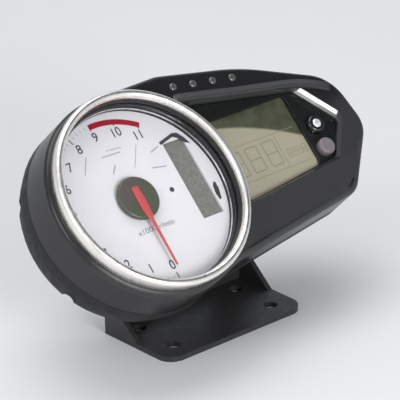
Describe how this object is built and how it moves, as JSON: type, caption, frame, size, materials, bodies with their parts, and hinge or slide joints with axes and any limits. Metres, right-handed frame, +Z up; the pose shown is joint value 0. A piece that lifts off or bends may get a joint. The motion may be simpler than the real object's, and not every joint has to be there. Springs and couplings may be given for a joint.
{
  "type": "motorcycle instrument cluster",
  "caption": "Round tachometer in a polished bezel with a display panel, indicator lamps and push buttons in one tapered black case, on rubber mounts and a bent steel stay.",
  "frame": {"origin": "centre of the stay's four foot holes, on the underside of the foot", "axes": "+X to the rider's right, +Y forwards along the motorcycle, +Z up; the dial faces back and up towards the rider, reclined 45 degrees"},
  "size_m": [0.1825, 0.1016, 0.1186],
  "materials": {
    "case_black": "moulded satin black",
    "case_black_rough": "moulded grained black",
    "rubber_black": "matt",
    "zinc_steel": "zinc plated",
    "polished_bezel": "polished silver",
    "clear_lens": "clear hard-coated plastic",
    "satin_trim": "satin silver",
    "dial_black": "matt black",
    "dial_white": "printed white",
    "lcd_grey": "grey-green liquid-crystal panel",
    "light_guide": "clear acrylic",
    "white_plastic": "moulded white",
    "needle_red": "red",
    "cap_dark": "dark satin",
    "spindle_steel": "ground steel",
    "motor_plastic": "moulded black",
    "zebra_rubber": "conductive strips",
    "lamp_lens": "smoked",
    "button_bright": "silver coated",
    "button_grey": "dark grey",
    "switch_plastic": "moulded",
    "board_green": "solder resist",
    "led_yellow": "phosphor",
    "chip_black": "epoxy",
    "connector_plastic": "moulded black",
    "contact_tin": "plated",
    "seal_rubber": "red-brown silicone",
    "insert_brass": "knurled",
    "bolt_steel": "black zinc",
    "stay_black": "powder coated black"
  },
  "bodies": {
    "cluster": {"front_case": "case_black", "rear_case": "case_black_rough", "case_gasket": "rubber_black", "case_screws": "zinc_steel", "bezel_ring": "polished_bezel", "tach_lens": "clear_lens", "dial_trim_ring": "satin_trim", "dial_surround": "dial_black", "dial_face": "dial_white", "dial_bar_lcd": "lcd_grey", "dial_light_guide": "light_guide", "dial_light_box": "white_plastic", "needle_motor": "motor_plastic", "display_lens": "clear_lens", "display_lcd": "lcd_grey", "display_backlight": "light_guide", "display_frame": "white_plastic", "display_contact_strips": "zebra_rubber", "indicator_lenses": "lamp_lens", "indicator_light_pipes": "light_guide", "button_boots": "rubber_black", "button_switches": "switch_plastic", "main_board": "board_green", "board_leds": "led_yellow", "board_chips": "chip_black", "board_screws": "zinc_steel", "connector_housing": "connector_plastic", "connector_pins": "contact_tin", "connector_seal": "seal_rubber", "breather_cap": "rubber_black", "mount_inserts": "insert_brass", "mount_dampers": "rubber_black", "mount_collars": "zinc_steel", "mount_bolts": "bolt_steel", "meter_stay": "stay_black"},
    "needle": {"needle": "needle_red", "needle_cap": "cap_dark", "needle_spindle": "spindle_steel"},
    "upper_button": {"upper_button": "button_bright"},
    "lower_button": {"lower_button": "button_grey"}
  },
  "joints": [
    {"name": "needle_sweep", "type": "hinge", "parent": "cluster", "child": "needle", "pos_m": [-0.0425, -0.003, 0.076], "axis": [0, 0.7071, -0.7071], "range_deg": [0, 214.2]},
    {"name": "upper_button_press", "type": "slide", "parent": "cluster", "child": "upper_button", "axis": [0, 0.7071, -0.7071], "range_m": [0, 0.0012], "stiffness_N_per_m": 300, "springref_m": -0.0006},
    {"name": "lower_button_press", "type": "slide", "parent": "cluster", "child": "lower_button", "axis": [0, 0.7071, -0.7071], "range_m": [0, 0.0012], "stiffness_N_per_m": 300, "springref_m": -0.0006}
  ]
}
